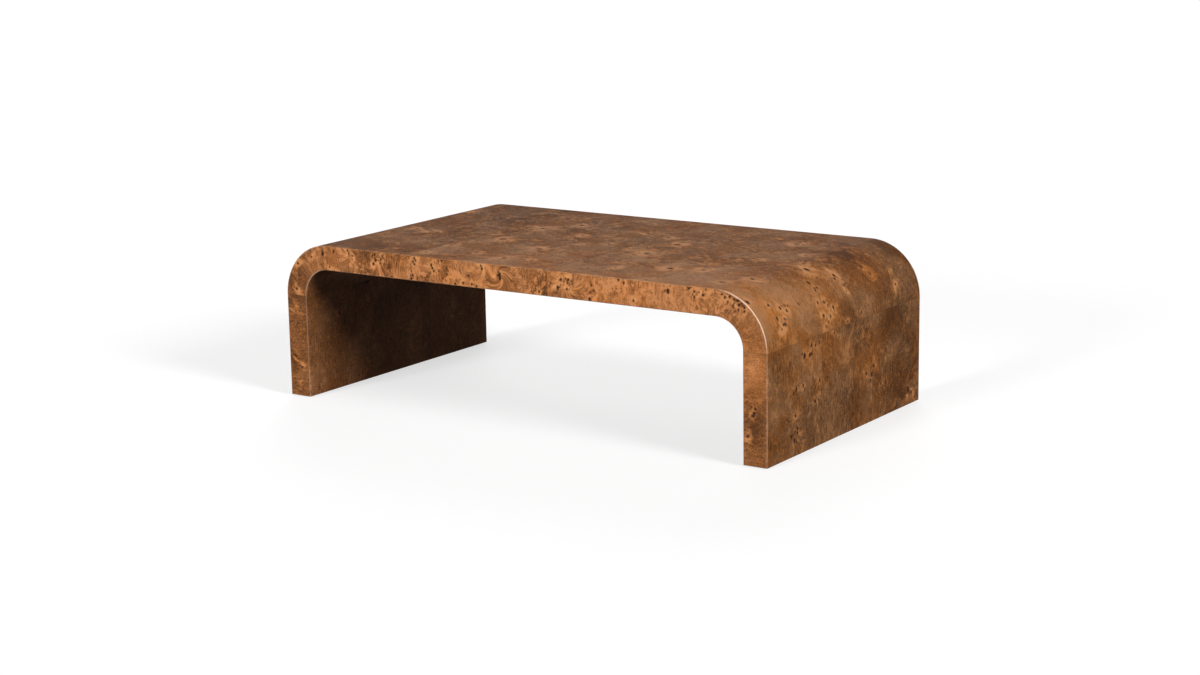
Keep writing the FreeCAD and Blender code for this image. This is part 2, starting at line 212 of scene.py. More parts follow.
# How blotched the figure of each kind of leaf is, how pale its clusters are, how far the grain shows as long
# lines and as short strokes, and how far its colour drifts
LOOKS = {
    "top": {"blotch": 1.0, "burr": 1.4, "streak": 0.15, "stroke": 0.28, "drift": 1.0},
    "leg": {"blotch": 1.0, "burr": 0.7, "streak": 0.3, "stroke": 0.36, "drift": 1.0},
    "inner": {"blotch": 0.8, "burr": 0.8, "streak": 0.25, "stroke": 0.22, "drift": 0.6},
    "edge": {"blotch": 1.2, "burr": 1.0, "streak": 0.35, "stroke": 0.25, "drift": 0.3},
    "leg edge": {"blotch": 0.55, "burr": 0.8, "streak": 0.5, "stroke": 0.16, "drift": 0.4},
}

# How noise pulls the grain about, as its scale and its reach, for straight, swirled and fine grain, and the
# layers of noise in the burl's figure: the grain they lie on, their scale or how far they are stretched along
# and across it, their detail and their roughness
STRAIGHT_PULL, SWIRL_PULL, FINE_PULL = (7.0, 0.02), (13.0, 0.05), (60.0, 0.010)
LAYERS = {
    "cloud": ("swirled", 9.0, 4.0, 0.5),
    "mottle": ("fine", 38.0, 6.0, 0.66),
    "patch": ("fine", 22.0, 5.0, 0.62),
    "fleck": ("fine", 75.0, 4.0, 0.6),
    "vein": ("fine", 48.0, 4.0, 0.55),
    "grit": ("fine", 300.0, 2.0, 0.6),
    "smear": ("swirled", (20.0, 40.0, 1.0), 5.0, 0.6),
    "curl": ("fine", (30.0, 130.0, 1.0), 5.0, 0.65),
    "feather": ("fine", (90.0, 210.0, 1.0), 4.0, 0.7),
    "fibre": ("fine", (110.0, 900.0, 1.0), 3.0, 0.6),
    "line": ("straight", (8.0, 240.0, 1.0), 5.0, 0.6),
    "stroke": ("straight", (42.0, 330.0, 1.0), 4.0, 0.65),
}
LACQUER = {"Specular IOR Level": 0.2, "Coat Weight": 0.04, "Coat Roughness": 0.3}

# Other finishes: scales along and across timber's grain, a ply and the turn of a wave texture in a metre, the
# metals' roughness, the floor's darker cloud and the height at which its sweep glows fully
TIMBER_ALONG, TIMBER_ACROSS = 9.0, 260.0
PLY, WAVE_TURN = 1.4 * MM, 20
BRASS_ROUGHNESS, ZINC_ROUGHNESS = 0.3, 0.35
FLOOR_CLOUD = 0.98
FULL_GLOW, FULL_GLOW_HEIGHT = 1.0, 0.5

# Lamps of the studio: azimuth from the front towards the right, elevation and width in degrees, and whether
# the lacquer mirrors them
LAMPS = {
    "front_lamp": (-8, 11, 16, False),
    "side_lamp": (82, 23, 20, True),
    "back_lamp": (-150, 20, 40, False),
}
LAMP_PLACE = (0, 0, 3)
SEEN_FAR = 200.0


def node_corners(node):
    """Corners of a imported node."""
    corners = np.empty(3 * len(frame["nodes"][node].data.vertices), np.float32)
    frame["nodes"][node].data.vertices.foreach_get("co", corners)
    return corners.reshape(-1, 3).astype(float)


def joint_places(node, axis):
    """Places along an axis where a node's flat faces begin and end, read from its corners."""
    return np.unique(node_corners(node)[:, axis].round(PLACE_DIGITS))


def spans(places):
    """Neighbouring pairs of a row of places."""
    return tuple(zip(places[:-1], places[1:]))


TOP_JOINTS = joint_places("top_veneer", 0)
LEAF_JOINTS = joint_places("top_veneer", 1)
LEFT_LEG, LEFT_BEND = (-ARCH_END, -BEND_END), (-BEND_END, -FLAT_REACH)
RIGHT_BEND, RIGHT_LEG = (FLAT_REACH, BEND_END), (BEND_END, ARCH_END)
TOP_LEAVES = spans(TOP_JOINTS)
SHEETS = (LEFT_LEG, (-BEND_END, TOP_JOINTS[1]), *TOP_LEAVES[1:-1], (TOP_JOINTS[-2], BEND_END), RIGHT_LEG)


def even(low, high, pitch):
    """Places from low to high, both kept, no further apart than pitch."""
    return np.linspace(low, high, max(FEWEST_PLACES, math.ceil((high - low) / pitch) + 1))


def arch(run, depth):
    """Section of the slab: run goes along the outer face from the middle of the top, depth goes into the
    slab. Straight along the top, a quarter circle about the bend's axis, then straight down the leg.
    Gives x and z, and the outward normal's x and z."""
    side = np.where(run < 0, -1.0, 1.0)
    along = np.abs(run)
    turn = np.clip((along - FLAT_REACH) / BEND_RADIUS, 0, QUARTER)
    radius = BEND_RADIUS - depth
    x = np.minimum(along, FLAT_REACH) + radius * np.sin(turn)
    z = LEG_HEAD + radius * np.cos(turn) - np.maximum(along - BEND_END, 0)
    return side * x, z, side * np.sin(turn), np.cos(turn)


def edge_place(x, z):
    """Place on the arch's edge: the depth below the outer face, and the run along the middle of the slab."""
    past = np.abs(x) - FLAT_REACH
    above = z - LEG_HEAD
    turn = np.where(past < 0, 0.0, np.arctan2(past, np.maximum(above, TINY)))
    turn = np.where(above < 0, QUARTER, turn)
    reach = np.where(above < 0, past, np.where(past < 0, above, np.hypot(past, above)))
    run = np.minimum(np.abs(x), FLAT_REACH) + turn * (BEND_RADIUS - SLAB / 2) + np.maximum(-above, 0)
    return BEND_RADIUS - reach, np.where(x < 0, -run, run)


def across(low, high, pitch, arris):
    """Section across a face leaf: straight, with a quarter circle of the arris where it meets a long edge.
    Gives y, the drop below the face and the lean of the normal."""
    steps = np.linspace(0, QUARTER, LIP_STEPS + 1)[1:]
    at_front, at_back = low < TOUCH - HALF_DEPTH, high > HALF_DEPTH - TOUCH
    flat = even(low + arris * at_front, high - arris * at_back, pitch)
    lean = np.concatenate([-steps[::-1] if at_front else [], np.zeros(len(flat)), steps if at_back else []])
    front, back = np.full(LIP_STEPS * at_front, flat[0]), np.full(LIP_STEPS * at_back, flat[-1])
    start = np.concatenate([front, flat, back])
    return start + arris * np.sin(lean), arris * (1 - np.cos(lean)), lean


def face_leaf(runs, section, inner):
    """Leaf on the slab's outer or inner face: the section across, carried along the arch.
    Gives points, normals and places, a place being the run and y."""
    y, drop, lean = section
    x, z, out_x, out_z = arch(runs[:, None], SLAB - drop if inner else drop)
    way = np.cos(lean) * (-1 if inner else 1)
    return stacked(x, y, z, way * out_x, np.sin(lean), way * out_z, runs[:, None], y)


def edge_leaf(runs, depths, y):
    """Leaf on the slab's front or back edge: depths carried along the arch in the plane of that edge.
    Gives points, normals and places, a place being the depth and the run along the middle of the slab."""
    x, z = arch(runs[:, None], depths)[:2]
    return stacked(x, y, z, 0.0, math.copysign(1, y), 0.0, *edge_place(x, z))


def stacked(*fields):
    """Grids of points, normals and places from their eight single fields."""
    grid = np.broadcast_arrays(*fields)
    return np.stack(grid[:3], -1), np.stack(grid[3:6], -1), np.stack(grid[6:], -1)


def outward(points, normals, places):
    """The same grids with their columns turned round where the faces would point into the slab."""
    row, column = points.shape[0] // 2, points.shape[1] // 2
    here = points[row, column]
    facing = np.cross(points[row + 1, column] - here, points[row, column + 1] - here)
    if facing @ normals[row, column] > 0:
        return points, normals, places
    return points[:, ::-1], normals[:, ::-1], places[:, ::-1]


def quads(here, beside):
    """Faces of a grid, from the numbers of its corners and of those one column further on."""
    return np.stack([here[:-1], here[1:], beside[1:], beside[:-1]], -1).reshape(-1, 4)


def shell(points, normals, thickness):
    """Closed sheet over a grid: the grid in front, its outline moved back by the thickness along the normals,
    walls between the two outlines, and one strip for each row at the back. Gives corners, faces, the two end
    faces of the back, and the outline."""
    rows, columns = points.shape[:2]
    front = np.arange(rows * columns).reshape(rows, columns)
    ring = np.concatenate([front[0], front[1:, -1], front[-1, -2::-1], front[-2:0:-1, 0]])
    corners = points.reshape(-1, 3)
    corners = np.concatenate([corners, corners[ring] - thickness * normals.reshape(-1, 3)[ring]])
    back = rows * columns + np.arange(len(ring))
    walls = np.stack([ring, np.roll(ring, -1), np.roll(back, -1), back], -1)
    right = back[columns - 1:columns - 1 + rows]
    left = np.concatenate([back[:1], back[:-rows:-1]])
    strips = np.stack([left[1:-2], right[1:-2], right[2:-1], left[2:-1]], -1)
    first = np.concatenate([back[:columns], right[1:2], left[1:2]])
    last = np.concatenate([left[-2:-1], right[-2:-1], back[columns + rows - 2:2 * columns + rows - 2]])
    return corners, np.concatenate([quads(front[:, :-1], front[:, 1:]), walls, strips]), [first, last], ring


def in_metres(*rows):
    """Features with their places and sizes in metres."""
    return np.reshape(sum(rows, ()), (-1, 4)) * (MM, MM, MM, 1)


def matched(*rows):
    """Features of the outer face, with those of the right end laid again on the left end, turned half round,
    as leaves cut from one burl are."""
    given = in_metres(*rows)
    return np.concatenate([given, given[given[:, 0] > FLAT_REACH] * (-1, -1, 1, 1)])


def on_edge(rows):
    """Features of a long edge, with their places turned from x and z into depth and run."""
    given = in_metres(rows)
    return np.column_stack([*edge_place(given[:, 0], given[:, 1]), given[:, 2:]])


NO_FEATURES = {kind: in_metres() for kind in ("clusters", "shades", "knots", "stains")}
FRONT_FEATURES = NO_FEATURES | {
    "clusters": on_edge(FRONT_EDGE_CLUSTERS),
    "shades": on_edge(FRONT_EDGE_SHADES),
}
OUTER_FEATURES = {
    "clusters": matched(TOP_CLUSTERS, SIDE_CLUSTERS),
    "shades": matched(OUTER_SHADES),
    "knots": matched(OUTER_KNOTS),
    "stains": matched(OUTER_STAINS),
}


def burl_sheet(key, low, high, features, density, tone=None):
    """One sheet of veneer as it was cut: clusters of eyes, the given ones and others at random, the eyes of
    each as small ovals scattered round it, and where in the burl the sheet was taken from."""
    draw = np.random.default_rng((bpy.context.scene.table_veneer.seed, *key))
    given = features["clusters"]
    given = given[np.all((given[:, :2] >= low) & (given[:, :2] <= high), 1)]
    count = draw.poisson(density * np.prod(np.subtract(high, low)))
    found = np.column_stack([draw.uniform(low, high, (count, 2)), draw.gamma(*SPREAD_LAW, count),
                             1 + draw.poisson(MORE_EYES, count)])
    clusters = np.concatenate([given, found])
    known = np.arange(len(clusters)) < len(given)
    pale = np.where(known, 1.0, draw.uniform(*PALENESS, len(clusters)))
    number = clusters[:, 3].astype(int)
    spread = np.repeat(clusters[:, 2], number)
    first = np.arange(number.sum()) == np.repeat(np.cumsum(number) - number, number)
    main = first & np.repeat(known, number)
    scatter = draw.normal(0, SCATTER, (len(first), 2)) * spread[:, None]
    main_size = np.minimum(MAIN_EYE + MAIN_EYE_SHARE * spread, MAIN_EYE_MOST)
    radius = draw.gamma(*EYE_LAW, len(first)) + np.where(main, main_size, COMMON_EYE)
    return features | {
        "clusters": np.column_stack([clusters[:, :3], draw.uniform(-TWIST, TWIST, len(clusters)), pale]),
        "eyes": np.column_stack([np.repeat(clusters[:, :2], number, 0) + scatter * ~first[:, None],
                                 radius, draw.uniform(*OVAL, len(first))]),
        "origin": np.array(low),
        "low": np.array(low),
        "high": np.array(high),
        "mirror": draw.choice((-1.0, 1.0), 2),
        "shift": draw.integers(0, SHIFT_STEPS, 2) * SHIFT_STEP + draw.uniform(0, 1, 2),
        "tone": draw.normal(*PLAIN_TONE) if tone is None else tone,
    }


def burl_figure(places, sheet):
    """Figure of a sheet at each place. Every cluster crowds and turns the grain about itself by an amount
    that falls off as a bell curve. Gives the pulled grain coordinates, the distance to the nearest eye's rim
    and the strength of the nearest cluster."""
    grain = places.copy()
    burr = np.zeros(places.shape[:2])
    rim = np.full(places.shape[:2], EYE_FAR)
    for a, b, spread, twist, pale in sheet["clusters"]:
        away = places - (a, b)
        far = np.hypot(away[..., 0], away[..., 1])
        fall = np.exp(-(far / (TURN_SHARE * spread + TURN_PAST)) ** 2)
        turn, crowd = twist * fall, 1 + CROWDING * fall
        turned = np.stack([away[..., 0] * np.cos(turn) - away[..., 1] * np.sin(turn),
                           away[..., 0] * np.sin(turn) + away[..., 1] * np.cos(turn)], -1)
        grain += turned * crowd[..., None] - away
        burr = np.maximum(burr, pale * np.exp(-(far / (BURR_SHARE * spread + BURR_PAST)) ** 2))
    for a, b, radius, oval in sheet["eyes"]:
        rim = np.minimum(rim, np.hypot((places[..., 0] - a) * oval, places[..., 1] - b) - radius)
    return (grain - sheet["origin"]) * sheet["mirror"] + sheet["shift"], rim, burr


def bells(places, rows):
    """Sum at each place of one bell curve for each row, given as its middle, its reach and its height."""
    total = np.zeros(places.shape[:2])
    for a, b, reach, height in rows:
        total += height * np.exp(-(np.hypot(places[..., 0] - a, places[..., 1] - b) / reach) ** 2)
    return total


def burl_tone(places, sheet):
    """Tone of a sheet at each place: the sheet's own, a bell curve for each shade, partly the burl's tone and
    partly painted shade, and for each knot rings that fade out past its radius, with a dark heart."""
    tone = sheet["tone"] + bells(places, sheet["shades"])
    for a, b, radius, amount in sheet["knots"]:
        out = np.hypot(places[..., 0] - a, places[..., 1] - b) / radius
        rings = 1 - RING_DEPTH + RING_DEPTH * np.cos(RING_TURN * out)
        tone += amount * np.exp(-out ** KNOT_END) * rings - HEART_DEPTH * np.exp(-(HEART_TURN * out) ** 2)
    return tone


def seam_distance(places, sheet):
    """Distance from each place to the nearest side of its sheet, without sides on the table's outline."""
    outline = np.array([*sheet["low"], *sheet["high"]])
    joined = np.abs(np.abs(outline) - np.array([ARCH_END, HALF_DEPTH] * 2)) > TOUCH
    sides = np.concatenate([places - sheet["low"], sheet["high"] - places], -1)
    return np.where(joined, sides, NO_SEAM).min(-1)


def round_bend(points):
    """How far round the bend each point lies: 0 on the top, 1 on the legs."""
    past = np.abs(points[..., 0]) - FLAT_REACH
    above = points[..., 2] - LEG_HEAD
    turn = np.arctan2(np.maximum(past, 0), np.maximum(above, TOUCH)) / QUARTER
    return np.where(above < 0, 1.0, turn)


def rubbed_and_highlit(points):
    """How far the long corners are rubbed pale, with a painted highlight: it falls off with the distance from
    a corner, and is little along the top, more down the legs, and most over the bends."""
    depth = edge_place(points[..., 0], points[..., 2])[0]
    away = np.maximum(HALF_DEPTH - np.abs(points[..., 1]), np.minimum(depth, SLAB - depth))
    past = np.clip((np.abs(points[..., 0]) - FLAT_REACH) / BEND_RADIUS, 0, 1)
    above = np.clip((points[..., 2] - LEG_HEAD) / BEND_RADIUS, 0, 1)
    amount = RUBBED_HIGHLIT_TOP + RUBBED_HIGHLIT_LEG * past + np.minimum(RUBBED_HIGHLIT_BEND * past * above, RUBBED_HIGHLIT_MOST)
    return np.clip(1 - away / RUBBED_HIGHLIT_REACH, 0, 1) * amount


def burl_leaf(grids, sheet, look):
    """One leaf as a closed shell with its figure, ready to be merged with the others of its piece. The figure
    is less blotched on the legs and round the bends."""
    points, normals, places = outward(*grids)
    grain, rim, burr = burl_figure(places, sheet)
    bend = round_bend(points)
    corners, faces, ends, ring = shell(points, normals, VENEER)
    fields = {name: np.full(rim.shape, look[name]) for name in ("streak", "stroke", "drift")}
    fields |= {
        "grain": grain,
        "rim": rim / MM,
        "burr": look["burr"] * burr,
        "seam": seam_distance(places, sheet) / MM,
        "tone": burl_tone(places, sheet),
        # The corners' pale rubbed line, which also paints a highlight along them
        "arris": rubbed_and_highlit(points),
        "blotch": look["blotch"] * (1 - CALM_LEG * bend - CALM_BEND * np.sin(math.pi * bend)),
        "warmth": bells(places, sheet["stains"]),
    }
    doubled = {}
    for name, field in fields.items():
        flat = field.reshape(points.shape[0] * points.shape[1], -1)
        doubled[name] = np.concatenate([flat, flat[ring]])
    return corners, faces, ends, doubled


def smooth_mesh(name, corners, faces):
    """Mesh that is shaded smooth, apart from its sharp edges."""
    mesh = bpy.data.meshes.new(name)
    mesh.from_pydata(corners.tolist(), [], faces)
    mesh.shade_smooth()
    mesh.set_sharp_from_angle(angle=SHARP_ANGLE)
    return mesh


def veneer_piece(name, leaves, node):
    """Merges leaves into one mesh object that rides on the table and stands for a node."""
    starts = np.cumsum([0] + [len(leaf[0]) for leaf in leaves])
    corners = np.concatenate([leaf[0] for leaf in leaves])
    faces = np.concatenate([leaf[1] + start for leaf, start in zip(leaves, starts)]).tolist()
    faces += [(end + start).tolist() for leaf, start in zip(leaves, starts) for end in leaf[2]]
    mesh = smooth_mesh(name, corners, faces)
    fields = {key: np.concatenate([leaf[3][key] for leaf in leaves]) for key in leaves[0][3]}
    corner_of = np.empty(len(mesh.loops), np.int32)
    mesh.loops.foreach_get("vertex_index", corner_of)
    mesh.uv_layers.new(name="grain").data.foreach_set("uv", fields.pop("grain")[corner_of].ravel())
    for key, field in fields.items():
        mesh.attributes.new(key, "FLOAT", "POINT").data.foreach_set("value", field.ravel())
    mesh.materials.append(burl_material())
    return placed(name, mesh, "table", "burl_veneer", node)


def placed(name, mesh, body, slot, *nodes):
    """Object for a mesh that is already in its place, riding on a body and standing for nodes."""
    piece = bpy.data.objects.new(name, mesh)
    bpy.context.scene.collection.objects.link(piece)
    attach(piece, body)
    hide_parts(*nodes)
    return piece


def stud_rings(node, sizes):
    """Radius, height and angle of a stud's rings, and its centre, read from its node. The head is a hexagon:
    its apothem over the cosine of the angle from the middle of a side. Up the shank the radius falls from the
    crest to the root and back once in each pitch, and the whole pattern climbs one pitch in a turn. It runs
    out at the head, and a chamfer cuts it off at the tip."""
    corners = node_corners(node)
    centre = np.mean(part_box(node), 0)
    head, neck, tip = joint_places(node, 2)
    away = corners[:, :2] - centre[:2]
    reach = np.hypot(away[:, 0], away[:, 1])
    shank = reach[corners[:, 2] > tip - TOUCH].max()
    corner = reach.argmax()
    angles = np.arctan2(*away[corner, ::-1]) + np.linspace(0, 2 * math.pi, STUD_COLUMNS, endpoint=False)
    hexagon = reach[corner] * math.cos(SIXTH / 2) / np.cos((angles - angles[0]) % SIXTH - SIXTH / 2)
    heights = even(neck, tip, sizes.pitch / THREAD_ROWS)
    turn = (heights[:, None] / sizes.pitch - angles / (2 * math.pi)) % 1
    groove = np.clip((np.abs(2 * turn - 1) - CREST) / FLANK, 0, 1)
    groove *= np.clip((heights - neck) / sizes.pitch, 0, 1)[:, None]
    chamfer = shank - np.maximum(sizes.tip - (tip - heights), 0)
    radii = np.concatenate([[hexagon, hexagon], np.minimum(shank - sizes.depth * groove, chamfer[:, None])])
    return radii, np.concatenate([[head, neck], heights]), angles, centre


def ring_mesh(name, radii, heights, angles, centre):
    """Closed mesh of rings about an upright axis: quads between neighbours and a fan to the middle at both
    ends."""
    rows, columns = radii.shape
    rings = np.stack([centre[0] + radii * np.cos(angles), centre[1] + radii * np.sin(angles),
                      np.broadcast_to(heights[:, None], radii.shape)], -1)
    middles = [(*centre[:2], heights[0]), (*centre[:2], heights[-1])]
    here = np.arange(rows * columns).reshape(rows, columns)
    beside = np.roll(here, -1, 1)
    sides = np.stack([here[:-1], beside[:-1], beside[1:], here[1:]], -1).reshape(-1, 4)
    bottom = np.stack([beside[0], here[0], np.full(columns, rows * columns)], -1)
    top = np.stack([here[-1], beside[-1], np.full(columns, rows * columns + 1)], -1)
    corners = np.concatenate([rings.reshape(-1, 3), middles])
    return smooth_mesh(name, corners, sides.tolist() + bottom.tolist() + top.tolist())


class Nodes:
    """The node tree of a material or a world, with short calls for the nodes that the finishes use."""

    def __init__(self, owner, shader="Principled BSDF"):
        owner.use_nodes = True
        self.owner = owner
        self.tree = owner.node_tree
        self.shader = self.tree.nodes[shader]

    def add(self, kind, sockets=(), **settings):
        """A node of a kind, its sockets fed and its settings set."""
        node = self.tree.nodes.new(kind)
        for key, value in settings.items():
            setattr(node, key, value)
        for key, value in dict(sockets).items():
            self.feed(node.inputs[key], value)
        return node

    def feed(self, socket, value):
        """Links a socket to another node's output, or sets a number or colour on it."""
        if isinstance(value, bpy.types.NodeSocket):
            self.tree.links.new(value, socket)
        else:
            socket.default_value = value

    def shade(self, sockets):
        """Feeds the shader's sockets and gives the finished material or world."""
        for key, value in sockets.items():
            self.feed(self.shader.inputs[key], value)
        return self.owner

    def sum(self, operation, first, second=0.0):
        """One sum with one or two numbers."""
        return self.add("ShaderNodeMath", {0: first, 1: second}, operation=operation).outputs[0]

    def total(self, start, *parts):
        """A start plus each part times its weight."""
        for part, weight in parts:
            sockets = {0: part, 1: weight, 2: start}
            start = self.add("ShaderNodeMath", sockets, operation="MULTIPLY_ADD").outputs[0]
        return start

    def blend(self, share, first, second, blend_type="MIX"):
        """The first colour with a share of the second."""
        sockets = {0: share, 6: first, 7: second}
        return self.add("ShaderNodeMix", sockets, data_type="RGBA", blend_type=blend_type).outputs[2]

    def step(self, value, low, high, at_low=0.0, at_high=1.0):
        """A smooth step from one value at low to another at high."""
        sockets = {"Value": value, 1: low, 2: high, 3: at_low, 4: at_high}
        return self.add("ShaderNodeMapRange", sockets, interpolation_type="SMOOTHSTEP").outputs[0]

    def noise(self, vector, scale, detail=3.0, roughness=0.5, output=0):
        """Noise from 0 to 1, or its colour."""
        sockets = {"Vector": vector, "Scale": scale, "Detail": detail, "Roughness": roughness}
        return self.add("ShaderNodeTexNoise", sockets).outputs[output]

    def swell(self, vector, scale, detail=3.0, roughness=0.5):
        """Noise about zero, from about -0.5 to 0.5."""
        return self.sum("SUBTRACT", self.noise(vector, scale, detail, roughness), 0.5)

    def pulled(self, vector, scale, reach):
        """Coordinates pulled about by noise, by up to about half of reach."""
        pull = self.noise(vector, scale, 2.0, output="Color")
        sockets = {0: pull, 1: (0.5, 0.5, 0.5)}
        offset = self.add("ShaderNodeVectorMath", sockets, operation="SUBTRACT").outputs[0]
        sockets = {0: offset, 1: (reach, reach, reach), 2: vector}
        return self.add("ShaderNodeVectorMath", sockets, operation="MULTIPLY_ADD").outputs[0]

    def stretched(self, vector, scale):
        """Coordinates times a scale along each axis."""
        return self.add("ShaderNodeMapping", {"Vector": vector, "Scale": scale}).outputs[0]

    def field(self, name):
        """One of the numbers that a piece holds at each corner."""
        return self.add("ShaderNodeAttribute", attribute_name=name).outputs["Fac"]

    def places(self):
        """Coordinates in the object's own space."""
        return self.add("ShaderNodeTexCoord").outputs["Object"]

    def bump(self, height, distance, strength):
        """Normals tilted by a height."""
        sockets = {"Height": height, "Distance": distance, "Strength": strength}
        return self.add("ShaderNodeBump", sockets).outputs[0]

    def ramp(self, value, stops):
        """A colour picked by a value from stops, each a place and a colour."""
        node = self.add("ShaderNodeValToRGB", {0: value})
        elements = node.color_ramp.elements
        for place, _ in stops[1:-1]:
            elements.new(place)
        for element, (place, tint) in zip(elements, stops):
            element.position, element.color = place, tint
        return node.outputs[0]


def colour(values):
    """A colour property's red, green and blue with full opacity."""
    return (*values, 1.0)


def burl_layers(nodes, grain):
    """Grain coordinates, pulled about by noise in three ways, and the layers of noise that lie on them."""
    swirled = nodes.pulled(grain, *SWIRL_PULL)
    fine, straight = nodes.pulled(swirled, *FINE_PULL), nodes.pulled(grain, *STRAIGHT_PULL)
    grains = {"swirled": swirled, "fine": fine, "straight": straight}
    layers = {}
    for name, (way, scale, detail, roughness) in LAYERS.items():
        vector = grains[way]
        if isinstance(scale, tuple):
            vector, scale = nodes.stretched(vector, scale), 1.0
        layers[name] = nodes.swell(vector, scale, detail, roughness)
    return grains, layers


def burl_value(nodes, grains, layers, burr, ragged_burr):
    """Lightness of the figure: the sheet's own tone with broad clouds, with curls and flakes where the figure
    is busy, with fibres, long lines, short strokes and grit, and lighter in the clusters."""
    busy = nodes.step(nodes.noise(grains["swirled"], 7.0, 2.0), 0.42, 0.62, 0.3, 1.2)
    busy = nodes.sum("MAXIMUM", busy, nodes.sum("MULTIPLY", burr, 1.2))
    curls = nodes.sum("MULTIPLY", layers["mottle"], 1.1)
    curls = nodes.total(curls, (layers["curl"], 0.65), (layers["feather"], 0.6))
    flakes = nodes.sum("MULTIPLY", layers["patch"], 0.7)
    flakes = nodes.total(flakes, (layers["fleck"], 0.8), (layers["feather"], 0.25))
    veins = nodes.sum("ABSOLUTE", layers["vein"])
    blotches = nodes.sum("MULTIPLY", curls, busy)
    for part, *slope in (
        (layers["smear"], -0.20, -0.08, -0.12, 0.0),
        (flakes, 0.06, 0.10, 0.0, 0.28),
        (layers["fleck"], -0.20, -0.13, -0.12, 0.0),
        (veins, 0.0, 0.03, -0.06, 0.0),
    ):
        blotches = nodes.sum("ADD", blotches, nodes.step(part, *slope))
    strokes = nodes.step(layers["stroke"], -0.12, 0.12, -0.5, 0.5)
    stroked = nodes.step(nodes.noise(grains["swirled"], 11.0), 0.4, 0.65, 0.35, 1.3)
    strokes = nodes.sum("MULTIPLY", strokes, stroked)
    value = nodes.total(
        nodes.sum("ADD", nodes.field("tone"), 0.5),
        (layers["cloud"], 0.75),
        (blotches, nodes.field("blotch")),
        (layers["fibre"], 0.25),
        (nodes.sum("MULTIPLY", layers["line"], 0.75), nodes.field("streak")),
        (layers["grit"], 0.8),
        (strokes, nodes.field("stroke")),
    )
    return nodes.sum("ADD", value, nodes.step(ragged_burr, 0.15, 1.15, 0.0, 0.30))


def burl_wood(nodes, settings, grains, value, ragged_burr):
    """Colour of the wood: a ramp of its lightness, tinted warm or grey, with pale clusters that hold dark
    pins."""
    stops = ((0.15, settings.shade), (0.48, settings.ground), (0.85, settings.light))
    base = nodes.ramp(value, [(place, colour(tint)) for place, tint in stops])
    share = nodes.step(nodes.noise(grains["swirled"], 9.0, 4.0, 0.6), 0.38, 0.59)
    share = nodes.sum("SUBTRACT", share, nodes.field("warmth"))
    tint = nodes.blend(share, colour(settings.warm), colour(settings.grey))
    base = nodes.blend(nodes.field("drift"), base, tint, "MULTIPLY")
    base = nodes.blend(nodes.step(ragged_burr, 0.3, 1.1, 0.0, 0.35), base, colour(settings.burr))
    base = nodes.blend(nodes.step(ragged_burr, 0.8, 1.35, 0.0, 0.45), base, colour(settings.cream))
    pins = nodes.add("ShaderNodeTexVoronoi", {"Vector": grains["fine"], "Scale": 190.0})
    size = nodes.sum("MULTIPLY", nodes.step(ragged_burr, 0.45, 1.1), pins.outputs["Color"])
    pin_rim = nodes.sum("SUBTRACT", pins.outputs["Distance"], nodes.sum("MULTIPLY", size, 0.38))
    return nodes.blend(nodes.step(pin_rim, -0.06, 0.05, 0.85, 0.0), base, colour(settings.eye_rim))


def burl_finish(settings):
    """Stained burl under satin lacquer. The figure's layers, all on grain coordinates that swirl round the
    eyes, pick the tone; clusters are lighter and hold pin knots, eyes are dark with a warm rim, joints are a
    fine dark line, and the corners are pale where rubbed, with a painted highlight along them."""
    nodes = Nodes(bpy.data.materials.new("lacquered_burl"))
    grain = nodes.add("ShaderNodeUVMap", uv_map="grain").outputs[0]
    grains, layers = burl_layers(nodes, grain)
    broken = nodes.step(nodes.noise(grains["fine"], 32.0), 0.36, 0.6, 0.5, 1.3)
    burr = nodes.sum("MULTIPLY", nodes.field("burr"), broken)
    ragged_burr = nodes.total(burr, (layers["feather"], 1.6), (layers["mottle"], 2.2))
    value = burl_value(nodes, grains, layers, burr, ragged_burr)
    base = burl_wood(nodes, settings, grains, value, ragged_burr)
    ragged_eye = nodes.total(nodes.field("rim"), (nodes.swell(grain, 330.0), 3.5))
    depth = nodes.step(nodes.noise(grain, 70.0, 1.0), 0.35, 0.55, 0.85, 1.0)
    heart = nodes.sum("MULTIPLY", nodes.step(ragged_eye, -0.7, 0.5, 1.0, 0.0), depth)
    for share, tint in (
        (nodes.step(ragged_eye, 0.2, 2.6, 0.5, 0.0), settings.eye_rim),
        (heart, settings.eye),
        (nodes.step(nodes.field("seam"), 0.1, 0.7, 0.55, 0.0), settings.seam),
        # Pale rubbed corners, which also paint a highlight along them
        (nodes.sum("MULTIPLY", nodes.field("arris"), settings.wear_and_highlight), settings.worn_and_highlit),
    ):
        base = nodes.blend(share, base, colour(tint))
    roughness = nodes.total(settings.roughness, (layers["mottle"], 0.16))
    height = nodes.total(nodes.step(ragged_eye, -1.0, 0.6, -0.6, 0.0), (layers["fibre"], 0.5))
    bump = nodes.bump(height, 0.2 * MM, 0.5)
    return nodes.shade({"Base Color": base, "Roughness": roughness, "Normal": bump, **LACQUER})


def timber_finish(name, tone, dark, axis):
    """Plain sawn timber: fine noise drawn out along the board's length, with rings across it."""
    nodes = Nodes(bpy.data.materials.new(name))
    scale = [TIMBER_ACROSS] * 3
    scale[axis] = TIMBER_ALONG
    drawn = nodes.stretched(nodes.pulled(nodes.places(), 8.0, 0.02), scale)
    grain = nodes.noise(drawn, 1.0, 4.0, 0.6)
    rings = nodes.noise(drawn, 0.14, 2.0)
    share = nodes.step(nodes.total(nodes.sum("MULTIPLY", grain, 0.5), (rings, 0.7)), 0.35, 0.8)
    return nodes.shade({"Base Color": nodes.blend(share, dark, tone),
                        "Roughness": nodes.step(grain, 0.2, 0.8, 0.75, 0.6),
                        "Normal": nodes.bump(grain, 0.3 * MM, 0.4)})


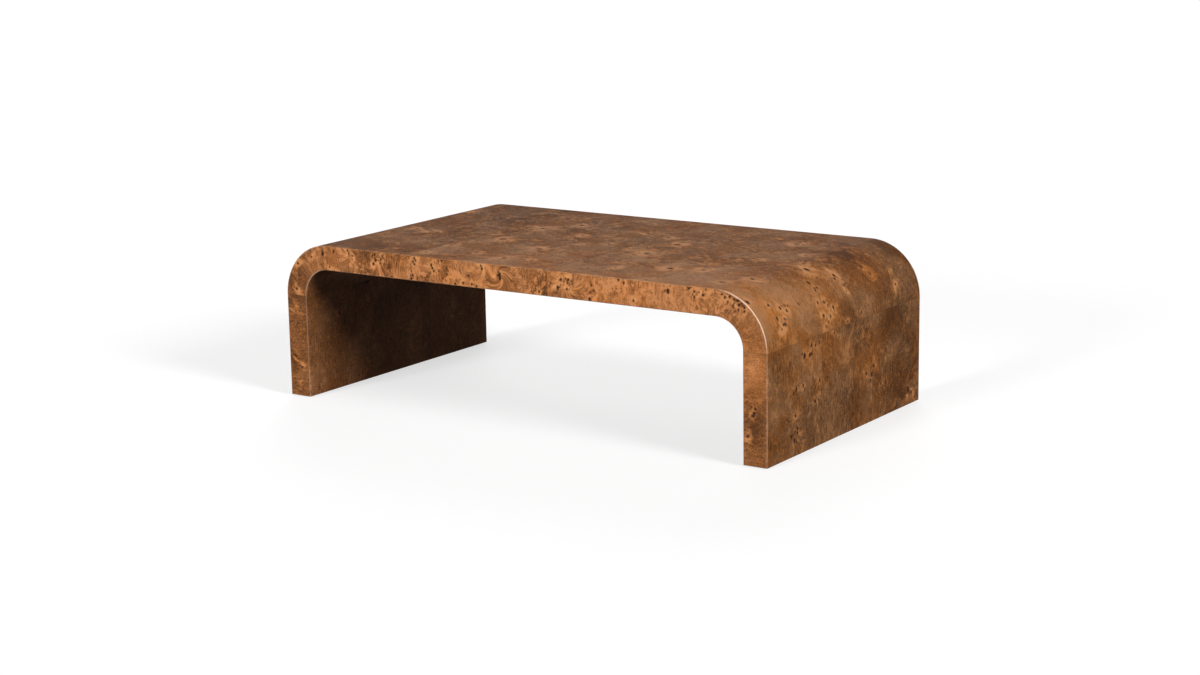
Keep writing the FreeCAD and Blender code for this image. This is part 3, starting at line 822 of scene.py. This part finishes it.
def board_finish(name, tone, dark):
    """Pressed fibre board: short pale and dark fibres with a faint cloud."""
    nodes = Nodes(bpy.data.materials.new(name))
    fleck = nodes.noise(nodes.places(), 900.0, 3.0, 0.7)
    cloud = nodes.noise(nodes.places(), 30.0)
    share = nodes.step(nodes.total(nodes.sum("MULTIPLY", fleck, 0.6), (cloud, 0.5)), 0.35, 0.75)
    return nodes.shade({"Base Color": nodes.blend(share, dark, tone),
                        "Roughness": nodes.step(fleck, 0.3, 0.7, 0.85, 0.7),
                        "Normal": nodes.bump(fleck, 0.2 * MM, 0.4)})


def plywood_finish(name, tone, dark):
    """Plywood: face grain of drawn out noise, over plies that alternate through the depth of the board."""
    nodes = Nodes(bpy.data.materials.new(name))
    drawn = nodes.noise(nodes.stretched(nodes.places(), (200.0, 14.0, 200.0)), 1.0, 4.0, 0.6)
    sockets = {"Vector": nodes.places(), "Scale": 1 / (WAVE_TURN * PLY), "Distortion": 0.4}
    layers = nodes.add("ShaderNodeTexWave", sockets, bands_direction="Y").outputs["Fac"]
    share = nodes.step(nodes.total(nodes.sum("MULTIPLY", drawn, 0.7), (layers, 0.4)), 0.25, 0.85)
    return nodes.shade({"Base Color": nodes.blend(share, dark, tone),
                        "Roughness": nodes.step(drawn, 0.2, 0.8, 0.75, 0.6),
                        "Normal": nodes.bump(drawn, 0.3 * MM, 0.4)})


def metal_finish(name, tone, dark, roughness):
    """Turned or plated metal: fine turning marks round the upright axis and a dull cloud."""
    nodes = Nodes(bpy.data.materials.new(name))
    marks = nodes.noise(nodes.stretched(nodes.places(), (60.0, 60.0, 4000.0)), 1.0, 2.0)
    cloud = nodes.step(nodes.noise(nodes.places(), 180.0), 0.3, 0.7)
    return nodes.shade({"Base Color": nodes.blend(cloud, dark, tone),
                        "Roughness": nodes.total(roughness, (marks, 0.2)),
                        "Metallic": 1.0,
                        "Normal": nodes.bump(marks, 0.05 * MM, 0.5)})


def nylon_finish(name, tone, dark):
    """Moulded nylon: an even, slightly cloudy colour with a fine spark eroded skin."""
    nodes = Nodes(bpy.data.materials.new(name))
    skin = nodes.noise(nodes.places(), 2600.0, 2.0)
    cloud = nodes.noise(nodes.places(), 120.0, 2.0)
    return nodes.shade({"Base Color": nodes.blend(cloud, dark, tone),
                        "Roughness": nodes.step(skin, 0.3, 0.7, 0.45, 0.6),
                        "Normal": nodes.bump(skin, 0.05 * MM, 0.4)})


def floor_finish(settings):
    """Pale studio floor with a barely seen cloud. It glows more where it sweeps up."""
    nodes = Nodes(bpy.data.materials.new("studio_floor"))
    cloud = nodes.noise(nodes.places(), 0.7)
    tone = colour(settings.floor)
    height = nodes.add("ShaderNodeSeparateXYZ", {0: nodes.places()}).outputs["Z"]
    glow = nodes.step(height, 0.0, FULL_GLOW_HEIGHT, settings.floor_glow, FULL_GLOW)
    return nodes.shade({"Base Color": nodes.blend(cloud, tone, tuple(FLOOR_CLOUD * value for value in tone)),
                        "Emission Color": WHITE,
                        "Emission Strength": glow,
                        "Roughness": 0.8,
                        "Specular IOR Level": 0.1})


def light_room(settings):
    """World whose light goes smoothly from a dim lower half to a brighter band at eye height, and down again
    overhead."""
    nodes = Nodes(bpy.data.worlds.new("studio_room"), "Background")
    way = nodes.add("ShaderNodeTexCoord").outputs["Generated"]
    height = nodes.add("ShaderNodeSeparateXYZ", {0: way}).outputs["Z"]
    rise = nodes.step(height, -0.15, 0.15, settings.room_below, settings.room_above)
    fall = nodes.step(height, 0.3, 0.65, 1.0, settings.overhead)
    return nodes.shade({"Color": WHITE, "Strength": nodes.sum("MULTIPLY", rise, fall)})


# Finish of each slot of the carcass and the levellers: how it is made, its colour, and a metal's roughness
CARCASS_FINISHES = {
    "panel_board": (board_finish, "board"),
    "bent_plywood": (plywood_finish, "plywood"),
    "former_plywood": (plywood_finish, "plywood"),
    "frame_timber": (timber_finish, "timber"),
    "beech_tenon": (timber_finish, "beech"),
    "insert_brass": (metal_finish, "brass", BRASS_ROUGHNESS),
    "zinc_steel": (metal_finish, "zinc", ZINC_ROUGHNESS),
    "foot_nylon": (nylon_finish, "nylon"),
}


def carcass_material(slot, axis, settings):
    """The finish of a slot; timber has one for each way that its grain can run."""
    make, tone_name, *more = CARCASS_FINISHES[slot]
    name = f"{slot}_finish"
    if make is timber_finish:
        name, more = f"{slot}_finish_{'xyz'[axis]}", [axis]
    if name in bpy.data.materials:
        return bpy.data.materials[name]
    tone = getattr(settings, tone_name)
    dark = [settings.darkening * value for value in tone]
    return make(name, colour(tone), colour(dark), *more)


def burl_material():
    """The one burl finish, made when it is first asked for."""
    return bpy.data.materials.get("lacquered_burl") or burl_finish(bpy.context.scene.table_burl)


def colour_property(name, description, default):
    """Property for a colour."""
    return FloatVectorProperty(name=name, description=description, default=default, subtype="COLOR",
                               min=0.0, max=1.0)


def size_property(name, description, default):
    """Property for a length."""
    return FloatProperty(name=name, description=description, default=default, unit="LENGTH", min=0.0,
                         precision=4)


def angle_property(name, description, default):
    """Property for an angle."""
    return FloatProperty(name=name, description=description, default=default, subtype="ANGLE")


def share_property(name, description, default):
    """Property for a share from none to all."""
    return FloatProperty(name=name, description=description, default=default, subtype="FACTOR",
                         min=0.0, max=1.0)


def light_property(name, description, default):
    """Property for the strength of a light."""
    return FloatProperty(name=name, description=description, default=default, min=0.0)


class BurlSettings(PropertyGroup):
    """Colours and gloss of the veneer."""

    shade: colour_property("Shade", "Darkest tone of the figure", (0.0655, 0.0248, 0.0094))
    ground: colour_property("Ground", "Middle tone of the figure", (0.2155, 0.0818, 0.0283))
    light: colour_property("Light", "Lightest tone of the figure", (0.392, 0.158, 0.0610))
    burr: colour_property("Burr", "Pale wood round the eyes", (0.41, 0.172, 0.060))
    cream: colour_property("Cream", "Palest wood between the eyes", (0.55, 0.26, 0.10))
    eye_rim: colour_property("Eye rim", "Warm rim of an eye", (0.10, 0.035, 0.012))
    eye: colour_property("Eye", "Heart of an eye", (0.020, 0.008, 0.005))
    warm: colour_property("Warm", "Tint where the veneer is more orange", (1.0, 0.91, 0.54))
    grey: colour_property("Grey", "Tint where the veneer is greyer", (0.855, 0.965, 0.98))
    seam: colour_property("Seam", "Glue line between leaves", (0.03, 0.014, 0.007))
    # Pale colour of the rubbed corners, which also paints a highlight along them
    worn_and_highlit: colour_property("Worn", "Rubbed arris", (0.85, 0.66, 0.52))
    wear_and_highlight: share_property("Wear", "How far the arrises are rubbed", 0.7)
    roughness: share_property("Roughness", "Mean roughness of the lacquer", 0.47)


class VeneerSettings(PropertyGroup):
    """Sizes of the laid veneer."""

    arris: size_property("Arris", "Radius of the eased long edges", 1.2 * MM)
    top_pitch: size_property("Top pitch", "Grid spacing on the top", 2.95 * MM)
    side_pitch: size_property("Side pitch", "Grid spacing on the outer bends and legs", 2.0 * MM)
    edge_pitch: size_property("Edge pitch", "Grid spacing on the long edges", 2.0 * MM)
    inner_pitch: size_property("Inner pitch", "Grid spacing on the inner faces", 4.5 * MM)
    seed: IntProperty(name="Seed", description="Starts the random eyes", default=11)


class CarcassSettings(PropertyGroup):
    """Colours of what the veneer covers and of the levellers."""

    board: colour_property("Board", "Fibre board skins", (0.30, 0.20, 0.12))
    plywood: colour_property("Plywood", "Bent shells and formers", (0.50, 0.34, 0.19))
    timber: colour_property("Timber", "Rails, stiles and ribs", (0.48, 0.33, 0.17))
    beech: colour_property("Beech", "Loose tenons", (0.50, 0.30, 0.16))
    brass: colour_property("Brass", "Threaded inserts", (0.72, 0.55, 0.26))
    zinc: colour_property("Zinc", "Plated studs", (0.62, 0.63, 0.64))
    nylon: colour_property("Nylon", "Leveller feet", (0.03, 0.03, 0.03))
    darkening: share_property("Darkening", "Dark tone as a share of the light one", 0.62)


class LevellerSettings(PropertyGroup):
    """Thread of the leveller studs."""

    pitch: size_property("Pitch", "Rise of the thread in one turn", 1.25 * MM)
    depth: size_property("Depth", "Depth of the thread", 0.75 * MM)
    tip: size_property("Tip", "Chamfer at the tip of a stud", 0.8 * MM)


class StudioSettings(PropertyGroup):
    """Camera, lamps and floor."""

    lens: FloatProperty(name="Lens", description="Focal length in millimetres", default=69.925, unit="CAMERA")
    eye: FloatVectorProperty(name="Eye", description="Place of the camera", default=(3.1023, -4.5423, 1.3478),
                             subtype="TRANSLATION", unit="LENGTH")
    azimuth: angle_property("Azimuth", "Turn from the front", 0.599144)
    elevation: angle_property("Elevation", "Angle above the floor", 0.214437)
    roll: angle_property("Roll", "Turn about the line of sight", -0.0170035)
    front_lamp: light_property("Front lamp", "Strength of the lamp in front", 4.3)
    side_lamp: light_property("Side lamp", "Strength of the lamp to the right", 3.3)
    back_lamp: light_property("Back lamp", "Strength of the lamp behind and to the left", 1.6)
    room_above: light_property("Room above", "Light of the room above the floor", 0.21)
    room_below: light_property("Room below", "Light of the room from low down", 0.095)
    overhead: share_property("Overhead", "Share of the room's light that is left overhead", 0.5)
    floor: colour_property("Floor", "Pale floor", (0.38, 0.38, 0.38))
    floor_glow: light_property("Floor glow", "Light of the floor itself, as of a lit sweep", 0.66)
    floor_reach: size_property("Floor reach", "Half the side of the floor", 25.0)
    sweep_start: size_property("Sweep start", "Distance from the table at which the floor sweeps up", 18.0)
    sweep_rise: size_property("Sweep rise", "Radius and height of the sweep", 8.0)


def face_piece(name, runs, pitch, inner, density):
    """Face piece of leaves, standing for the veneer node of its name: stretches of the arch by rows of leaves
    across the depth. On a leg each leaf has its own figure. On the top the figure runs on across the depth
    and over the bends."""
    settings = bpy.context.scene.table_veneer
    features = NO_FEATURES if inner else OUTER_FEATURES
    leaves = []
    for low, high in runs:
        held = [start < low + TOUCH and high < stop + TOUCH for start, stop in SHEETS]
        row = held.index(True)
        start, stop = SHEETS[row]
        on_leg = SHEETS[row] in (LEFT_LEG, RIGHT_LEG)
        look = LOOKS["inner" if inner else "leg" if on_leg else "top"]
        whole = burl_sheet((inner, row), (start, -HALF_DEPTH), (stop, HALF_DEPTH), features, density)
        for column, (front, back) in enumerate(spans(LEAF_JOINTS)):
            corners = {"low": np.array((start, front)), "high": np.array((stop, back))}
            sheet = whole | corners
            if on_leg:
                sheet = burl_sheet((inner, row, column), *corners.values(), features, density)
            if not inner:
                # The leaf's tone, with painted shade on the legs' leaves
                sheet["tone"] = OUTER_TONES[row][column]
            grids = face_leaf(even(low, high, pitch), across(front, back, pitch, settings.arris), inner)
            leaves.append(burl_leaf(grids, sheet, look))
    return veneer_piece(f"{name}_leaves", leaves, f"{name}_veneer")


def end_pieces(part, left_run, right_run, density):
    """Outer and inner face pieces of one part of both ends."""
    sizes = bpy.context.scene.table_veneer
    for side, run in (("left", left_run), ("right", right_run)):
        face_piece(f"{side}_{part}_outer", [run], sizes.side_pitch, False, density)
        face_piece(f"{side}_{part}_inner", [run], sizes.inner_pitch, True, INNER_DENSITY)


class WATERFALL_OT_top_veneer(Operator):
    """Lay the leaves of the top and of the underside"""

    bl_idname = "waterfall.top_veneer"
    bl_label = "Top and underside"

    def execute(self, context):
        sizes = context.scene.table_veneer
        face_piece("top", TOP_LEAVES, sizes.top_pitch, False, OUTER_DENSITY)
        face_piece("underside", TOP_LEAVES, sizes.inner_pitch, True, INNER_DENSITY)
        return {"FINISHED"}


class WATERFALL_OT_bend_veneer(Operator):
    """Lay the leaves over and inside both bends"""

    bl_idname = "waterfall.bend_veneer"
    bl_label = "Bends"

    def execute(self, context):
        end_pieces("bend", LEFT_BEND, RIGHT_BEND, OUTER_DENSITY)
        return {"FINISHED"}


class WATERFALL_OT_leg_veneer(Operator):
    """Lay the leaves on the outer and inner faces of both legs"""

    bl_idname = "waterfall.leg_veneer"
    bl_label = "Legs"

    def execute(self, context):
        end_pieces("leg", LEFT_LEG, RIGHT_LEG, LEG_DENSITY)
        return {"FINISHED"}


class WATERFALL_OT_edge_veneer(Operator):
    """Lay the leaves along the front and back edges"""

    bl_idname = "waterfall.edge_veneer"
    bl_label = "Long edges"

    def execute(self, context):
        sizes = context.scene.table_veneer
        depths = even(sizes.arris, SLAB - sizes.arris, sizes.edge_pitch)
        runs = (LEFT_LEG, LEFT_BEND, *TOP_LEAVES, RIGHT_BEND, RIGHT_LEG)
        ends = (("front", FRONT_KEY, -HALF_DEPTH, FRONT_FEATURES, FRONT_DENSITY),
                ("back", BACK_KEY, HALF_DEPTH, NO_FEATURES, BACK_DENSITY))
        for end, key, y, features, density in ends:
            leaves = []
            for row, (low, high) in enumerate(runs):
                look = LOOKS["leg edge" if (low, high) in (LEFT_LEG, RIGHT_LEG) else "edge"]
                grids = edge_leaf(even(low, high, sizes.edge_pitch), depths, y)
                starts, stops = grids[2].min((0, 1)), grids[2].max((0, 1))
                # The leaf's tone, with painted shade on the legs' leaves
                sheet = burl_sheet((key, row), starts, stops, features, density, EDGE_TONES[row])
                leaves.append(burl_leaf(grids, sheet, look))
            veneer_piece(f"{end}_edge_leaves", leaves, f"{end}_edge_veneer")
        return {"FINISHED"}


class WATERFALL_OT_carcass(Operator):
    """Give the carcass and the levellers their finishes"""

    bl_idname = "waterfall.carcass"
    bl_label = "Carcass and levellers"

    def execute(self, context):
        settings = context.scene.table_carcass
        for row in frame["record"]["subparts"]:
            node, slot = row["node"], row["material_slot"]
            if slot == "burl_veneer":
                continue
            low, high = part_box(node)
            axis = int(np.argmax(np.subtract(high, low)))
            mesh = frame["nodes"][node].data
            mesh.materials.clear()
            mesh.materials.append(carcass_material(slot, axis, settings))
        return {"FINISHED"}


class WATERFALL_OT_levellers(Operator):
    """Cut the threads of the leveller studs"""

    bl_idname = "waterfall.levellers"
    bl_label = "Leveller studs"

    def execute(self, context):
        material = carcass_material("zinc_steel", 2, context.scene.table_carcass)
        for body in LEVELLERS:
            node = f"{body}_stud"
            mesh = ring_mesh(f"{body}_threaded_stud", *stud_rings(node, context.scene.table_levellers))
            mesh.materials.append(material)
            placed(mesh.name, mesh, body, "zinc_steel", node)
        return {"FINISHED"}


class WATERFALL_OT_studio(Operator):
    """Set the floor, the lamps and the camera"""

    bl_idname = "waterfall.studio"
    bl_label = "Studio"

    def execute(self, context):
        scene = context.scene
        settings = scene.table_studio
        lay_floor(settings)
        hang_lamps(settings)
        set_camera(settings)
        scene.world = light_room(settings)
        scene.view_settings.view_transform = "Standard"
        return {"FINISHED"}


def lay_floor(settings):
    """Flat square floor at the height of the feet, and far off a sweep all round it: a quarter circle turned
    about the upright axis."""
    material = floor_finish(settings)
    side = np.linspace(-settings.floor_reach, settings.floor_reach, FLOOR_CELLS + 1)
    grid = np.meshgrid(side, side, 0.0, indexing="ij")
    here = np.arange(len(side) ** 2).reshape(len(side), -1)
    stage_piece("studio_floor", grid, quads(here[:, :-1], here[:, 1:]), material)
    lift = np.linspace(0, QUARTER, SWEEP_ROWS)[:, None]
    turn = np.linspace(0, 2 * math.pi, SWEEP_COLUMNS, endpoint=False)
    out = settings.sweep_start + settings.sweep_rise * np.sin(lift)
    up = settings.sweep_rise * (1 - np.cos(lift))
    grid = np.broadcast_arrays(out * np.cos(turn), out * np.sin(turn), up)
    here = np.arange(SWEEP_ROWS * SWEEP_COLUMNS).reshape(SWEEP_ROWS, SWEEP_COLUMNS)
    sweep = stage_piece("studio_sweep", grid, quads(here, np.roll(here, -1, 1)), material)
    sweep.visible_shadow = False


def stage_piece(name, grid, faces, material):
    """Stage mesh over grids of x, y and z that lets the room's light through to the table."""
    mesh = bpy.data.meshes.new(name)
    mesh.from_pydata(np.stack(grid, -1).reshape(-1, 3).tolist(), [], faces.tolist())
    mesh.materials.append(material)
    piece = bpy.data.objects.new(name, mesh)
    bpy.context.scene.collection.objects.link(piece)
    piece.visible_diffuse = False
    piece.visible_glossy = False
    return piece


def hang_lamps(settings):
    """Broad, distant lamps."""
    for name, (azimuth, elevation, width, gloss) in LAMPS.items():
        lamp = bpy.data.lights.new(name, "SUN")
        lamp.energy = getattr(settings, name)
        lamp.angle = math.radians(width)
        hung = bpy.data.objects.new(name, lamp)
        hung.visible_glossy = gloss
        hung.matrix_world = looking(math.radians(azimuth), math.radians(elevation), 0.0, LAMP_PLACE)
        bpy.context.scene.collection.objects.link(hung)


def looking(azimuth, elevation, roll, place):
    """Matrix of a camera or lamp at a place that looks back along its azimuth and elevation."""
    back = np.array([math.sin(azimuth) * math.cos(elevation), -math.cos(azimuth) * math.cos(elevation),
                     math.sin(elevation)])
    right = np.array([math.cos(azimuth), math.sin(azimuth), 0.0])
    up = np.cross(back, right)
    across_view = math.cos(roll) * right + math.sin(roll) * up
    up_view = math.cos(roll) * up - math.sin(roll) * right
    matrix = np.eye(4)
    matrix[:3] = np.column_stack([across_view, up_view, back, np.array(place)])
    return Matrix(matrix.tolist())


def set_camera(settings):
    """Camera at the photographed angle."""
    camera = bpy.data.cameras.new("studio_camera")
    camera.lens = settings.lens
    camera.sensor_fit = "HORIZONTAL"
    camera.clip_end = SEEN_FAR
    stand = bpy.data.objects.new("studio_camera", camera)
    stand.matrix_world = looking(settings.azimuth, settings.elevation, settings.roll, settings.eye)
    bpy.context.scene.collection.objects.link(stand)
    bpy.context.scene.camera = stand


class WATERFALL_PT_table(Panel):
    """Sidebar list of the table's pieces"""

    bl_idname = "WATERFALL_PT_table"
    bl_label = "Waterfall table"
    bl_space_type = "VIEW_3D"
    bl_region_type = "UI"
    bl_category = "Table"

    def draw(self, context):
        for operator in OPERATORS:
            self.layout.operator(operator.bl_idname)
        for group, kind in GROUPS.items():
            box = self.layout.box()
            for key in kind.__annotations__:
                box.prop(getattr(context.scene, group), key)


GROUPS = {
    "table_burl": BurlSettings,
    "table_veneer": VeneerSettings,
    "table_carcass": CarcassSettings,
    "table_levellers": LevellerSettings,
    "table_studio": StudioSettings,
}
OPERATORS = (
    WATERFALL_OT_top_veneer,
    WATERFALL_OT_bend_veneer,
    WATERFALL_OT_leg_veneer,
    WATERFALL_OT_edge_veneer,
    WATERFALL_OT_carcass,
    WATERFALL_OT_levellers,
    WATERFALL_OT_studio,
)


def register():
    """Registers the settings, the operators and the panel."""
    for group, kind in GROUPS.items():
        bpy.utils.register_class(kind)
        setattr(bpy.types.Scene, group, PointerProperty(type=kind))
    for kind in (*OPERATORS, WATERFALL_PT_table):
        bpy.utils.register_class(kind)


def unregister():
    """Takes the panel, the operators and the settings away again."""
    for kind in (WATERFALL_PT_table, *reversed(OPERATORS)):
        bpy.utils.unregister_class(kind)
    for group, kind in GROUPS.items():
        delattr(bpy.types.Scene, group)
        bpy.utils.unregister_class(kind)


def main():
    """Builds everything in order."""
    register()
    for name in ("top_veneer", "bend_veneer", "leg_veneer", "edge_veneer", "carcass", "levellers", "studio"):
        getattr(bpy.ops.waterfall, name)()
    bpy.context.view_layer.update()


if __name__ == "__main__":
    main()
